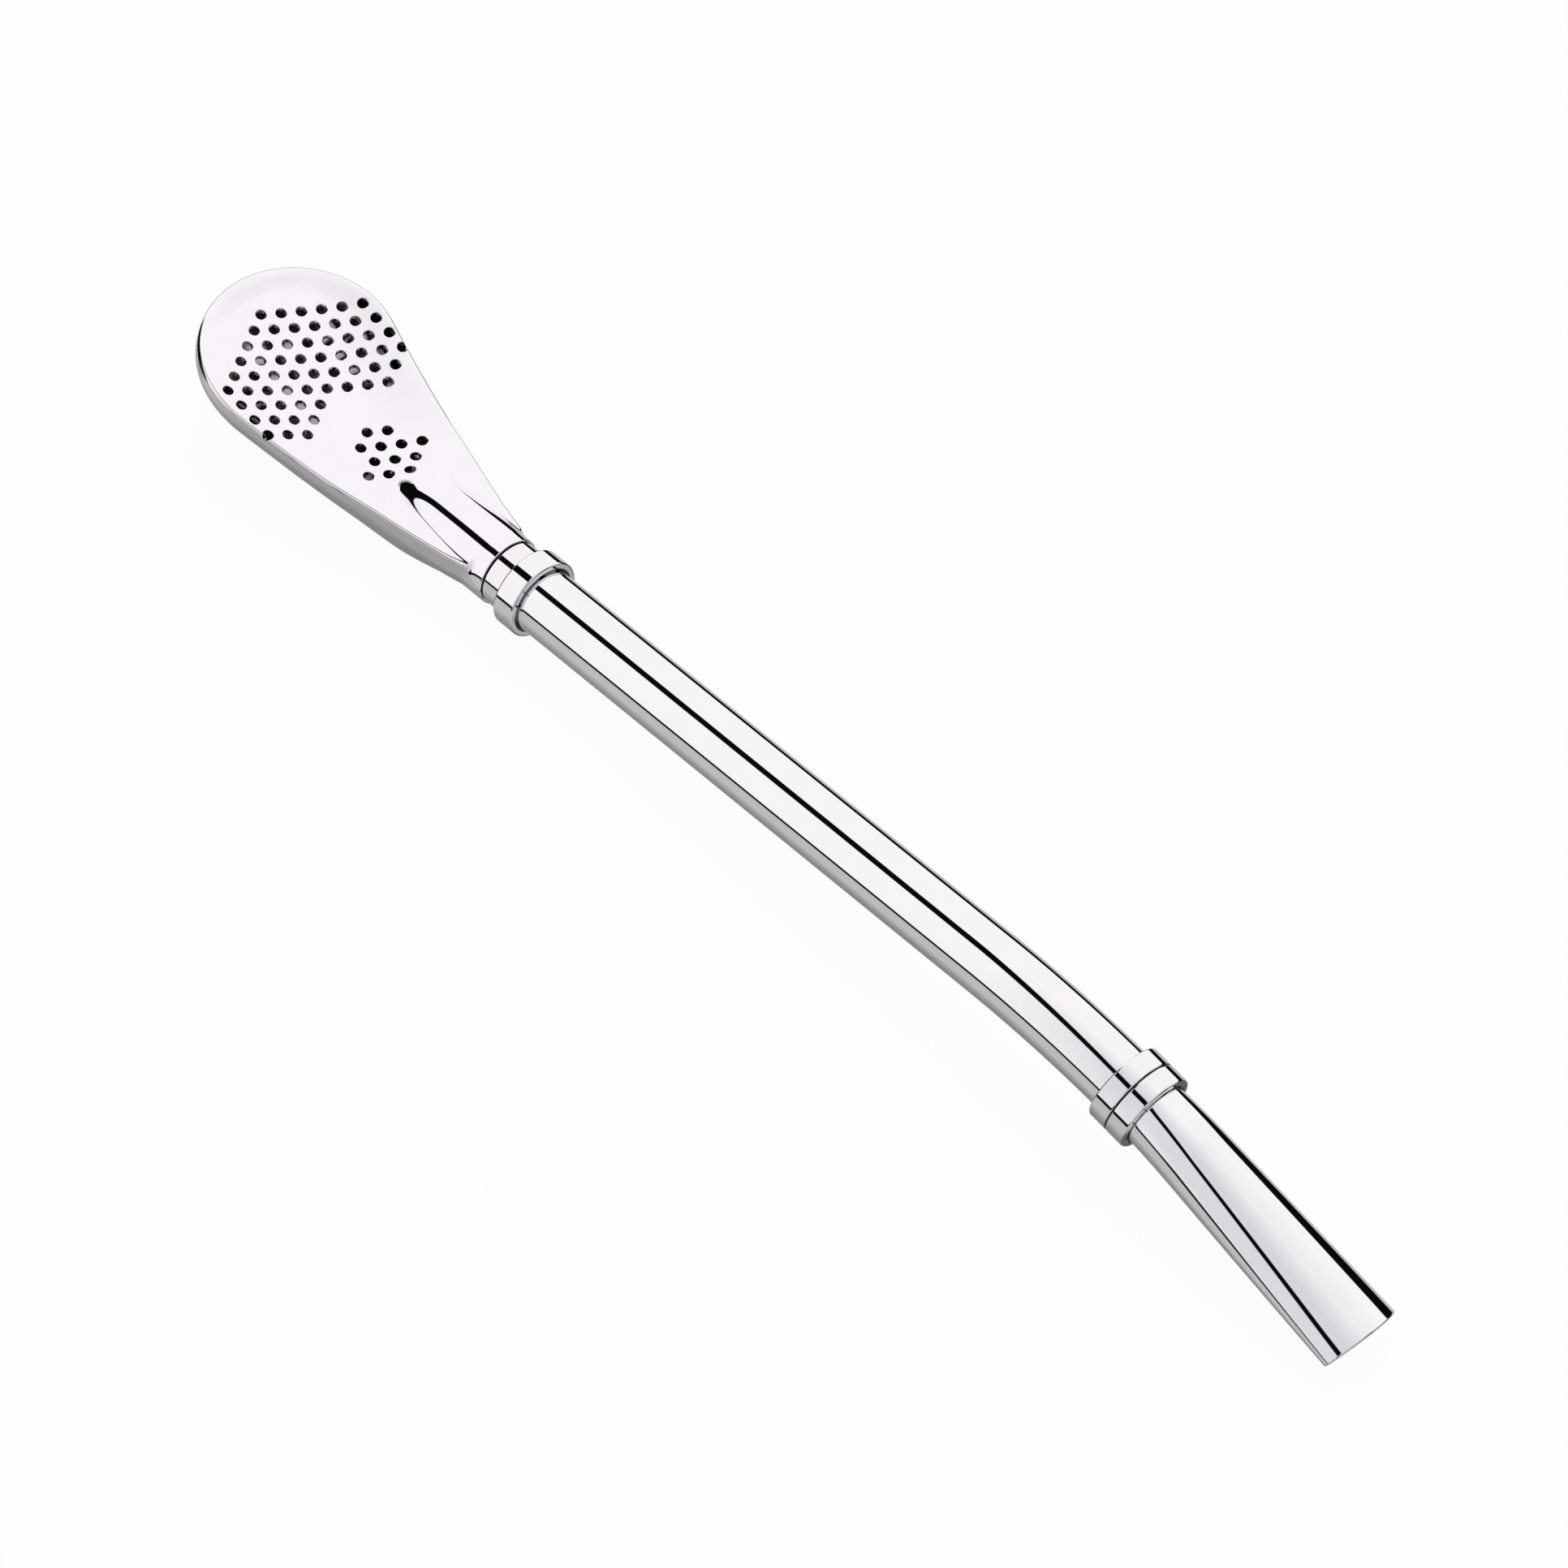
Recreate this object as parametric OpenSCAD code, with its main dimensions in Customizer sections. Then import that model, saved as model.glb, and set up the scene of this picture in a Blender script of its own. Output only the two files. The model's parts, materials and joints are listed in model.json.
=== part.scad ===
// Stainless steel filter straw: a pierced spoon strainer that screws onto a bent
// drinking tube with a flattened mouthpiece. Millimetres.
// +X runs from the strainer's tip to the mouth and +Z is up, with the pierced plate on
// top. The straw is drawn lying down, on its belly and the lower lip of its mouth, and
// the origin is under the middle of its outer box.

/* [Strainer] */
// Width of the strainer at its widest place, and twice the radius of its round end
head_w = 20.2; // [17:0.1:23]
// Length of the strainer along the plate, from its tip to the seam with the stem
head_l = 40.6; // [37:0.1:46]
// Depth of the bowl under the flat of the plate
bowl_depth = 5.2; // [4.4:0.1:6]
// Thickness of the strainer's sheet
sheet = 0.5; // [0.4:0.05:0.6]
// Height of the wall that is turned down around the plate
rim_drop = 1; // [0.8:0.1:1.3]
// Lift of the plate along the edge of its round end
lip_lift = 0.3; // [0.1:0.05:0.4]
// Radius across the plate's hollow at the tip
dish_r_tip = 110; // [80:1:200]
// Radius across the plate's hollow at the neck
dish_r_neck = 26; // [24:1:40]
// Length of the flat of the plate before it turns up towards the neck
flat_l = 17.8; // [16:0.1:19]
// Radius of the turn between the flat and the neck
turn_r = 40; // [34:1:46]

/* [Neck] */
// Outside diameter of the neck
neck_od = 7.3; // [7.1:0.1:7.8]
// Angle by which the neck and the stem rise from the flat of the plate
neck_rise = 17.1; // [15:0.1:19]
// Length of the ridge that the neck raises on the plate, from its nose to the seam
ridge_l = 14.2; // [12:0.1:16]
// Height of the plate above the middle of the neck
plate_over_neck = 2.5; // [2.2:0.1:2.7]
// Depth by which the plate sinks beside the ridge, from its nose to the round neck
plate_sink = 0.9; // [0.4:0.1:1]
// Length of neck that is round on its upper side
neck_round = 2.4; // [2:0.1:3]
// Length of neck that is round on its under side
neck_grip = 5; // [4.5:0.1:6]

/* [Holes] */
// Diameter of the strainer's holes
hole_d = 1.05; // [0.8:0.05:1.2]
// Distance between neighbouring holes
hole_pitch = 2; // [1.9:0.05:2.1]
// Distance from the tip to the first hole
first_hole = 4.2; // [4:0.1:4.6]

/* [Screw joint] */
// Mean diameter of the screw thread
thread_d = 5.5; // [5.3:0.1:5.6]
// Advance of the strainer in one turn
thread_pitch = 0.8; // [0.6:0.1:1]
// Depth of the groove at the thread's root, which is one pitch long
relief = 0.2; // [0.1:0.05:0.3]
// Length of the threaded stud
stud_l = 4.8; // [4:0.1:5.2]
// Length of the threaded bush in the neck
bush_l = 5.4; // [5:0.1:6]
// Bore of the threaded stud
stud_bore = 3.8; // [3:0.1:4.2]
// Diameter of the collar that shows between neck and ring
collar_d = 6.9; // [6.8:0.05:7.1]
// Length of the collar
collar_l = 2.3; // [2:0.1:3]
// Length of the stud's spigot inside the stem
spigot_l = 5; // [4:0.5:8]

/* [Stem] */
// Outside diameter of the stem and mouthpiece tube
tube_od = 6.7; // [6.6:0.05:6.8]
// Wall of the stem and mouthpiece tube
tube_wall = 0.5; // [0.4:0.05:0.6]
// Straight length of the stem from the collar to the bend
straight_l = 63.3; // [55:0.1:75]
// Radius of the stem's bend, at its middle line
bend_r = 94; // [80:1:120]
// Angle of the stem's bend
bend_angle = 11.8; // [8:0.1:14]

/* [Rings] */
// Outside diameter of the three rings
ring_od = 8.4; // [8:0.1:9]
// Width of the ring beside the strainer
ferrule_w = 2.5; // [2:0.1:3]
// Width of each ring of the pair at the mouthpiece
ring_w = 2.2; // [1.8:0.1:2.3]
// Rounding of the rings' outer edges
ring_round = 0.4; // [0.2:0.05:0.6]
// Bevel where a ring meets the tube
ring_bevel = 0.25; // [0.1:0.05:0.4]

/* [Mouthpiece] */
// Length of the mouthpiece
mouth_l = 30; // [26:0.1:36]
// Radius of the flattened mouth's crowned upper and under sides
crown_r = 6.2; // [5.8:0.1:7]
// Radius of the flattened mouth's side edges
edge_r = 0.9; // [0.8:0.1:1.3]
// Angle by which each crown falls from its middle to the side edges
crown_fall = 44.5; // [40:0.5:46]
// Roll of the flattened mouth to one side
mouth_roll = 4; // [0:0.5:6]
// Angle by which the mouth's end is cut back under its upper lip
end_cut = 14; // [0:1:16]
// Straight round length at the mouthpiece's start
mouth_root = 2.6; // [2.5:0.1:4]
// Radius of the mouthpiece's own bend
mouth_bend_r = 60; // [40:1:90]
// Angle of the mouthpiece's own bend
mouth_bend = 5.3; // [3:0.1:8]
// Length of the sleeve hidden in the joint of stem and mouthpiece
sleeve_l = 4.6; // [3:0.1:4.6]
// Wall of that sleeve
sleeve_wall = 0.4; // [0.3:0.05:0.5]

/* [Fits] */
// Radial play of the screw thread
thread_play = 0.05; // [0.03:0.01:0.08]
// Radial gap that the solder fills between brazed pieces
braze_gap = 0.02; // [0.01:0.01:0.04]
// Gap at the seam between neck and collar
seam_gap = 0.1; // [0.05:0.05:0.2]

/* [Hidden] */

// The plate's own frame: x from the tip, y across and z up from the flat of the plate.
$fn = 72;
head_r = head_w / 2;
neck_r = neck_od / 2;
tube_r = tube_od / 2;
tube_in = tube_r - tube_wall;
neck_in = neck_r - sheet;
// The outline runs into the neck a little inside its round side, and past the seam.
neck_inset = 0.1;
loft_neck = neck_r - neck_inset;
round_x = head_l - neck_round;
grip_x = head_l - neck_grip;
past_seam = 2;
loft_end = head_l + past_seam;

// Where the flank leaves the round end, as an angle from the middle of that end.
flank_to = [round_x - head_r, loft_neck];
leave = atan2(flank_to.y, flank_to.x) + acos(head_r / norm(flank_to));
leave_x = head_r + head_r * cos(leave);
leave_y = head_r * sin(leave);

function mix(a, b, t) = a + (b - a) * t;
function clip(t) = min(1, max(0, t));
function ease(t) = let (c = clip(t)) c * c * (3 - 2 * c);
function soft_max(a, b, w) = (a + b + sqrt((a - b) * (a - b) + w * w)) / 2;

// Half the outline's width at x.
function half_w(x) =
    x <= leave_x ? sqrt(max(0, head_r * head_r - (x - head_r) * (x - head_r)))
    : x < round_x ? mix(leave_y, loft_neck, (x - leave_x) / (round_x - leave_x))
    : loft_neck;

// Height of the plate's middle line, with its turn towards the neck.
turn_x = flat_l + turn_r * sin(neck_rise);
turn_z = turn_r * (1 - cos(neck_rise));
function rise_z(x) =
    x < flat_l ? 0
    : x < turn_x ? turn_r - sqrt(turn_r * turn_r - (x - flat_l) * (x - flat_l))
    : turn_z + (x - turn_x) * tan(neck_rise);

// Height of the neck's middle line, which meets the seam at seam_z.
seam_z = rise_z(head_l) - plate_over_neck / cos(neck_rise);
function neck_z(x) = seam_z + (x - head_l) * tan(neck_rise);

// The plate folds down onto the round neck just before the seam.
fold_l = 1.6;
fold_end = head_l - 1.2;
fold_below = 0.3;
function fold(x) = ease((x - fold_end + fold_l) / fold_l);
// The hollow is at its fullest a little after the plate has begun to turn up.
dish_after = 8.5;
function dish(x) = mix(1 / dish_r_tip, 1 / dish_r_neck, clip(x / (flat_l + dish_after)));

// Share of the way from the middle of the outline to its edge.
function reach(x, y) =
    x < head_r ? norm([x - head_r, y]) / head_r : abs(y) / half_w(x);
// The lip rises over the outer part of the plate and fades out along the flanks.
lip_from = 0.7;
lip_fades_from = 8;
lip_fades_over = 8;
function lip_height(x) = lip_lift * (1 - ease((x - lip_fades_from) / lip_fades_over));
function lip(x, y) = lip_height(x) * pow(max(0, (reach(x, y) - lip_from) / (1 - lip_from)), 2);
// The plate sinks beside the ridge, from its nose to the round neck.
function sink(x) = plate_sink * ease((x - head_l + ridge_l) / (ridge_l - neck_round - 1));
function plate_z(x, y) =
    mix(rise_z(x) - sink(x) + dish(x) * y * y / 2 + lip(x, y), neck_z(x) - fold_below, fold(x));

// Height at which plate and bowl are joined, down to the middle of the neck.
join_from = 26;
join_to = head_l - 3.2;
function edge_z(x) = rise_z(x) + dish(x) * half_w(x) * half_w(x) / 2 + lip_height(x);
function join_z(x) =
    mix(edge_z(x) - rim_drop, neck_z(x), ease((x - join_from) / (join_to - join_from)));

// The bowl's keel, level under the plate and then running up to the neck.
keel_blend = 0.8;
function keel_r(x) = loft_neck + max(0, grip_x - x) * (leave_y - loft_neck) / (round_x - leave_x);
function keel_z(x) =
    soft_max(-bowl_depth, neck_z(x) - keel_r(x) / cos(neck_rise), keel_blend);
// Power of the bowl's cross-section: 2 is an ellipse and more is fuller at the sides.
full_power = 2.25;
function bowl_power(x) = mix(full_power, 2, ease((x - join_from) / (join_to - join_from)));

// One side of the outline from tip to neck, each entry an edge point and the point of
// the middle line that it is drawn towards.
round_steps = 15;
flank_steps = 16;
neck_steps = 3;
cap_steps = 3;
side = concat(
    [for (i = [0:round_steps]) let (a = mix(180, leave, i / round_steps))
        [[head_r + head_r * cos(a), head_r * sin(a)], [head_r, 0]]],
    [for (i = [1:flank_steps]) let (t = i / flank_steps)
        [[mix(leave_x, round_x, t), mix(leave_y, loft_neck, t)], [mix(head_r, round_x, t), 0]]],
    [for (i = [1:neck_steps]) let (x = mix(round_x, loft_end, i / neck_steps))
        [[x, loft_neck], [x, 0]]],
    [for (i = [1:cap_steps]) let (a = 90 - 90 * i / cap_steps)
        [[loft_end + loft_neck * cos(a), loft_neck * sin(a)], [loft_end, 0]]]
);
last = len(side) - 1;
loop = concat(side, [for (i = [last - 1:-1:1]) [[side[i][0].x, -side[i][0].y], side[i][1]]]);

// A point of the loop at share t, with the edge drawn in by inset.
function inward(entry, inset, t) =
    let (v = entry[0] - entry[1], d = norm(v)) entry[1] + v * (t * (d - inset) / d);

// Shares of the way out at which the curved surfaces are drawn, closer near the edge.
shares = [0.05, 0.22, 0.4, 0.56, 0.7, 0.8, 0.87, 0.92, 0.96, 0.985, 1];

// Closed solid with one curved face of given heights and one level face.
module curved_solid(points, level, curved_on_top) {
    n = len(loop);
    rings = len(shares);
    base = [for (p = [for (i = [0:n - 1]) points[(rings - 1) * n + i]]) [p.x, p.y, level]];
    half = n / 2;
    skin = concat(
        [for (j = [0:rings - 2]) for (i = [0:n - 1]) let (k = (i + 1) % n)
            each [[j * n + i, (j + 1) * n + i, (j + 1) * n + k],
                  [j * n + i, (j + 1) * n + k, j * n + k]]],
        [for (i = [0:half - 1]) for (f = strip(i, n, 0)) f]
    );
    wall = [for (i = [0:n - 1]) let (k = (i + 1) % n, a = (rings - 1) * n, b = rings * n)
        each [[a + i, b + i, b + k], [a + i, b + k, a + k]]];
    floor_faces = [for (i = [0:half - 1]) for (f = strip(i, n, rings * n)) [f[2], f[1], f[0]]];
    faces = concat(skin, wall, floor_faces);
    turned = [for (f = faces) [f[2], f[1], f[0]]];
    polyhedron(concat(points, base), curved_on_top ? faces : turned);
}
// Triangles between point i of a ring and its mirror twin.
function strip(i, n, from) =
    let (a = i, b = i + 1, c = (n - i) % n, d = n - i - 1)
    concat(
        a == c ? [] : [[from + a, from + b, from + c]],
        b == d ? [] : [[from + b, from + d, from + c]]
    );

deep = 12;
// Everything under the plate, drawn in by inset from plate and outline.
module under_plate(inset) {
    points = [for (t = shares) for (e = loop)
        let (p = inward(e, inset, t)) [p.x, p.y, plate_z(p.x, p.y) - inset]];
    curved_solid(points, -deep, true);
}
// Everything over the bowl, drawn in by inset from bowl and outline.
module over_bowl(inset) {
    points = [for (t = shares) for (e = loop)
        let (p = inward(e, inset, t), s = e[1].x, n = bowl_power(s),
             drop = join_z(s) - keel_z(s) - inset)
            [p.x, p.y, join_z(p.x) - drop * pow(1 - pow(t, n), 1 / n)]];
    curved_solid(points, deep + seam_z, false);
}
// Everything above or below the line where plate and bowl are joined.
join_steps = 40;
module join_side(level) {
    far = loft_end + neck_od;
    line = [for (i = [0:join_steps]) let (x = mix(-1, far, i / join_steps))
        [x, join_z(clip(x / far) * far)]];
    rotate([90, 0, 0])
        linear_extrude(height = 2 * head_w, center = true)
            polygon(concat(line, [[far, level], [-1, level]]));
}
// Everything inside the outline, drawn in by inset.
module column(inset) {
    translate([0, 0, -2 * deep])
        linear_extrude(height = 4 * deep)
            polygon([for (e = loop) let (p = inward(e, inset, 1)) [p.x, p.y]]);
}

// The neck's frame: x along the stem from the seam, z square to it.
module at_neck() {
    translate([head_l, 0, seam_z]) rotate([0, -neck_rise, 0]) children();
}
module rod(r, from, to) {
    translate([from, 0, 0]) rotate([0, 90, 0]) cylinder(r = r, h = to - from);
}
module capsule(r, nose, to) {
    rod(r, nose + r, to);
    translate([nose + r, 0, 0]) sphere(r = r);
}
// Distance by which the ridge's rounded end lies before its nose on the plate.
nose_back = neck_r - sqrt(neck_r * neck_r - plate_over_neck * plate_over_neck);
nose_at = -ridge_l - nose_back;

// Holes, on a lattice of equal triangles about the middle line.
field_side = 8;
field_half = 5;
cluster_side = 3;
function lattice(u, v) =
    [first_hole + (u + v) * hole_pitch / 2, (u - v) * hole_pitch * sqrt(3) / 2];
field = [for (u = [0:field_side]) for (v = [0:field_side])
    if (abs(u - v) <= field_half && min(u, v) <= field_half) lattice(u, v)];
cluster = [for (i = [0:cluster_side]) for (j = [0:cluster_side])
    if (min(i, j) >= 1 || i + j <= 1) lattice(field_side + i, field_side + j)];
drill_l = 3;
function slope_at(x) = asin(clip((min(x, turn_x) - flat_l) / turn_r));
module face_holes() {
    for (p = concat(field, cluster))
        translate([p.x, p.y, plate_z(p.x, p.y)])
            rotate([-atan(dish(p.x) * p.y), -slope_at(p.x), 0])
                cylinder(d = hole_d, h = drill_l, center = true, $fn = 32);
}

// Pose of the resting straw, from its keel, its ferrule ring and its lower lip.
function turned(p, a) = [p.x * cos(a) + p.y * sin(a), p.y * cos(a) - p.x * sin(a)];
function along_neck(s, h) =
    [head_l, seam_z] + [s * cos(neck_rise) - h * sin(neck_rise), s * sin(neck_rise) + h * cos(neck_rise)];
stem_start = collar_l;
bend_at = stem_start + straight_l;
// From the neck's frame to the frame at the joint of stem and mouthpiece.
function past_bend(s, h) =
    let (q = turned([s, h + bend_r], bend_angle)) along_neck(bend_at + q.x, q.y - bend_r);
after_root = turned([0, mouth_bend_r], mouth_bend) + [mouth_root, -mouth_bend_r];
lip_run = mouth_l - mouth_root - mouth_bend_r * mouth_bend * PI / 180;
function mouth_point(h) =
    let (q = turned([lip_run + h * tan(end_cut), h], mouth_bend) + after_root)
        past_bend(q.x, q.y);
mouth_half_h = crown_r - (crown_r - edge_r) * cos(crown_fall) * cos(mouth_roll);
low_lip = mouth_point(-mouth_half_h);
high_lip = mouth_point(mouth_half_h);
keel = [for (x = [head_r / 2:0.25:head_l]) [x, keel_z(x)]];
ring_foot = [for (s = [0, ferrule_w]) along_neck(collar_l + s, -ring_od / 2)];
rest_angle = max([for (p = concat(keel, ring_foot))
    atan((low_lip.y - p.y) / (low_lip.x - p.x))]);
rest_z = turned(low_lip, rest_angle).y;
tip_wall = [for (t = [0.8:0.01:1]) let (n = bowl_power(0))
    [head_r * (1 - t), join_z(0) - (join_z(head_r) - keel_z(head_r)) * pow(1 - pow(t, n), 1 / n)]];
back_x = min([for (p = tip_wall) turned(p, rest_angle).x]);
front_x = max(turned(low_lip, rest_angle).x, turned(high_lip, rest_angle).x);
module lay_down() {
    translate([-(back_x + front_x) / 2, 0, -rest_z]) rotate([0, rest_angle, 0]) children();
}

module strainer_face() {
    color("gainsboro") lay_down() difference() {
        union() {
            intersection() {
                difference() {
                    under_plate(0);
                    under_plate(sheet);
                }
                at_neck() rod(2 * head_w, -2 * head_l, -seam_gap);
                union() {
                    join_side(3 * deep);
                    column(1.2 * sheet);
                }
            }
            difference() {
                intersection() {
                    at_neck() capsule(neck_r, nose_at, -seam_gap);
                    join_side(3 * deep);
                }
                under_plate(sheet / 2);
            }
        }
        at_neck() capsule(neck_in, nose_at + sheet, 1);
        face_holes();
    }
}

module strainer_back() {
    color("silver") lay_down() difference() {
        intersection() {
            union() {
                over_bowl(0);
                at_neck() rod(neck_r, -neck_grip, 3);
            }
            at_neck() rod(2 * head_w, -2 * head_l, -seam_gap);
            join_side(-3 * deep);
        }
        over_bowl(sheet);
        at_neck() rod(neck_in, -neck_grip - 3, 1);
    }
}

module neck_bush() {
    color("lightsteelblue") lay_down() at_neck() difference() {
        rod(neck_in - braze_gap, -bush_l - seam_gap, -seam_gap);
        rod(thread_d / 2 + thread_play, -bush_l - 1, 1);
    }
}

module threaded_stud() {
    color("lightsteelblue") lay_down() at_neck() difference() {
        union() {
            rod(thread_d / 2, -stud_l, -thread_pitch);
            rod(thread_d / 2 - relief, -stud_l, 0);
            rod(collar_d / 2, 0, collar_l);
            rod(tube_in - braze_gap, collar_l, collar_l + spigot_l);
        }
        rod(stud_bore / 2, -stud_l - 1, collar_l + spigot_l + 1);
    }
}

// A ring with rounded outer edges and a bevelled seat, from x = 0 to x = w.
module band(w) {
    bore = tube_r + braze_gap;
    rotate([0, 90, 0]) difference() {
        rotate_extrude() {
            translate([bore, ring_round]) square([ring_od / 2 - bore, w - 2 * ring_round]);
            translate([bore, 0]) square([ring_od / 2 - ring_round - bore, w]);
            for (h = [ring_round, w - ring_round])
                translate([ring_od / 2 - ring_round, h]) circle(r = ring_round, $fn = 32);
        }
        translate([0, 0, w - ring_bevel])
            cylinder(r1 = bore, r2 = bore + ring_bevel, h = ring_bevel);
    }
}

module ferrule_ring() {
    color("white") lay_down() at_neck() translate([collar_l, 0, 0]) band(ferrule_w);
}

module at_joint() {
    at_neck() translate([bend_at, 0, -bend_r]) rotate([0, bend_angle, 0])
        translate([0, 0, bend_r]) children();
}

module stem_tube() {
    color("silver") lay_down() difference() {
        union() {
            at_neck() rod(tube_r, stem_start, bend_at);
            at_neck() stem_bend(tube_r, 0);
        }
        at_neck() rod(tube_in, stem_start - 1, bend_at);
        at_neck() stem_bend(tube_in, 1);
    }
}
module stem_bend(r, overrun) {
    translate([bend_at, 0, -bend_r]) rotate([90, 0, 0])
        rotate_extrude(angle = bend_angle + overrun, start = 90 - bend_angle - overrun)
            translate([bend_r, 0]) circle(r = r);
}

module stem_ring() {
    color("white") lay_down() at_joint() mirror([1, 0, 0]) band(ring_w);
}

module mouthpiece_ring() {
    color("white") lay_down() at_joint() band(ring_w);
}

module joint_sleeve() {
    color("lightsteelblue") lay_down() at_joint() difference() {
        rod(tube_in - braze_gap, -sleeve_l / 2, sleeve_l / 2);
        rod(tube_in - braze_gap - sleeve_wall, -sleeve_l, sleeve_l);
    }
}

// The pressed length runs from the round tube to a low lens with rounded side edges.
mouth_steps = 14;
mouth_around = 48;
// Step by which the pressed length starts inside the round length's wall.
press_step = 0.015;
// Middle line of the pressed length at distance s from its start, as [x, z, angle].
bend_run = mouth_bend_r * mouth_bend * PI / 180;
function mouth_line(s) =
    s < bend_run
    ? let (a = s / mouth_bend_r * 180 / PI)
        [mouth_root + mouth_bend_r * sin(a), mouth_bend_r * (cos(a) - 1), a]
    : let (q = turned([s - bend_run, mouth_bend_r], mouth_bend))
        [mouth_root + q.x, q.y - mouth_bend_r, mouth_bend];
// Cross-section of the pressed length at share t of its way, drawn in by inset, as
// [across, up] points in equal steps of the surface's direction.
function mouth_section(t, inset) =
    let (crown = mix(tube_r, crown_r, t), edge = mix(tube_r, edge_r, t), roll = mouth_roll * t)
    [for (i = [0:mouth_around - 1])
        let (a = 360 * i / mouth_around,
             on_crown = abs(sin(a)) > cos(crown_fall),
             side = on_crown ? -sign(sin(a)) : sign(cos(a)),
             middle = (crown - edge) * side * (on_crown ? [0, cos(crown_fall)] : [sin(crown_fall), 0]),
             p = middle + ((on_crown ? crown : edge) - inset) * [cos(a), sin(a)])
        turned(p, roll)];
// The same section in its place at distance s, leaning forwards by lean at its top.
function mouth_ring(t, inset, s, lean) =
    let (m = mouth_line(s))
    [for (p = mouth_section(t, inset))
        let (q = turned([p.y * tan(lean), p.y], m[2])) [m.x + q.x, p.x, m.y + q.y]];
module pressed_tube(inset, overrun) {
    run = mouth_l - mouth_root;
    points = [for (j = [0:mouth_steps])
        let (t = j / mouth_steps, more = j == 0 ? -overrun : j == mouth_steps ? overrun : 0)
        for (p = mouth_ring(t, inset, t * run, j == mouth_steps ? end_cut : 0))
            p + more_along(t * run, more)];
    n = mouth_around;
    sides = [for (j = [0:mouth_steps - 1]) for (i = [0:n - 1]) let (k = (i + 1) % n)
        each [[j * n + i, (j + 1) * n + i, (j + 1) * n + k],
              [j * n + i, (j + 1) * n + k, j * n + k]]];
    ends = [[for (i = [0:n - 1]) i], [for (i = [n - 1:-1:0]) mouth_steps * n + i]];
    polyhedron(points, concat(sides, ends));
}
function more_along(s, more) =
    let (a = mouth_line(s)[2]) [more * cos(a), 0, -more * sin(a)];

module mouthpiece() {
    color("silver") lay_down() at_joint() {
        difference() {
            rod(tube_r, 0, mouth_root);
            rod(tube_in, -1, mouth_root + 1);
        }
        difference() {
            pressed_tube(press_step, 0);
            pressed_tube(tube_wall - press_step, 0.01);
        }
    }
}

strainer_face();
strainer_back();
neck_bush();
threaded_stud();
ferrule_ring();
stem_tube();
stem_ring();
mouthpiece_ring();
joint_sleeve();
mouthpiece();
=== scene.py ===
import json
import math

import bpy
import numpy as np
from mathutils import Matrix, Vector
from mathutils.geometry import delaunay_2d_cdt


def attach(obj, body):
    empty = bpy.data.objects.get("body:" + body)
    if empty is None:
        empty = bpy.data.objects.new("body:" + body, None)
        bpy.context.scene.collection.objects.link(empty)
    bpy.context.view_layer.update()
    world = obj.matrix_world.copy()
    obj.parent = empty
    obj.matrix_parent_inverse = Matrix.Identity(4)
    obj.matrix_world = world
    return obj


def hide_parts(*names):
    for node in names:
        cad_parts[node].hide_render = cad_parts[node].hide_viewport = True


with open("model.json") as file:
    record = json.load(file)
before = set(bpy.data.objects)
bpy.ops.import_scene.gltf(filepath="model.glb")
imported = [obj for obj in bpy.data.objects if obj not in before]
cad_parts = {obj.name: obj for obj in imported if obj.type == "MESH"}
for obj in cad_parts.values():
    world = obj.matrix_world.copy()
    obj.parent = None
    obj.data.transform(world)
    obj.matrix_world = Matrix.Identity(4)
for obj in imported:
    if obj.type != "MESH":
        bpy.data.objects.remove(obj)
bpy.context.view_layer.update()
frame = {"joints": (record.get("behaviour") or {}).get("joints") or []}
bpy.context.scene.view_settings.view_transform = "Standard"

# Where the straw lies. The seam between neck and stem and the screw's direction come from
# the frame. Lengths are millimetres in the frame of each piece: x along the straw from
# the tip, the seam or the joint towards the mouth, y across and z up.
MM = 0.001
HEAD_L = 40.6
NECK_RISE = math.radians(17.1)
FLAT_L = 17.8
TURN_R = 40.0
PLATE_OVER_NECK = 2.5
PLATE_SINK = 0.9
COLLAR_L = 2.3
STRAIGHT_L = 63.3
BEND_R = 94.0
BEND = math.radians(11.8)
screw = next(j for j in frame["joints"] if j["name"] == "strainer_turn")
seam = Vector(screw["pos_m"])
stem_climb = math.atan2(-screw["axis"][2], -screw["axis"][0])
turn_x = FLAT_L + TURN_R * math.sin(NECK_RISE)
turn_z = TURN_R * (1 - math.cos(NECK_RISE))
bend_at = COLLAR_L + STRAIGHT_L


def rise(x):
    """Height of the plate's middle line: flat, turned up, then straight to the neck."""
    turned = np.clip(x - FLAT_L, 0, turn_x - FLAT_L)
    arc = TURN_R - np.sqrt(TURN_R**2 - turned**2)
    return np.where(x < turn_x, arc, turn_z + (x - turn_x) * math.tan(NECK_RISE))


def bent(s):
    """Middle line of the stem: (along, up, tilt downwards) at distance s from the seam."""
    tilt = np.maximum(s - bend_at, 0) / BEND_R
    along = np.minimum(s, bend_at) + BEND_R * np.sin(tilt)
    return along, BEND_R * (np.cos(tilt) - 1), tilt


def straight(s):
    return s, 0 * s, 0 * s


seam_z = float(rise(HEAD_L)) - PLATE_OVER_NECK / math.cos(NECK_RISE)
stem_frame = Matrix.Translation(seam) @ Matrix.Rotation(-stem_climb, 4, "Y")
plate_frame = stem_frame @ Matrix.Rotation(NECK_RISE, 4, "Y")
plate_frame = plate_frame @ Matrix.Translation(Vector((-HEAD_L, 0, -seam_z)) * MM)
joint_s = bend_at + BEND_R * BEND
joint_x, joint_z, _ = bent(joint_s)
joint_frame = stem_frame @ Matrix.Translation(Vector((joint_x, 0, joint_z)) * MM)
joint_frame = joint_frame @ Matrix.Rotation(BEND, 4, "Y")

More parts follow.
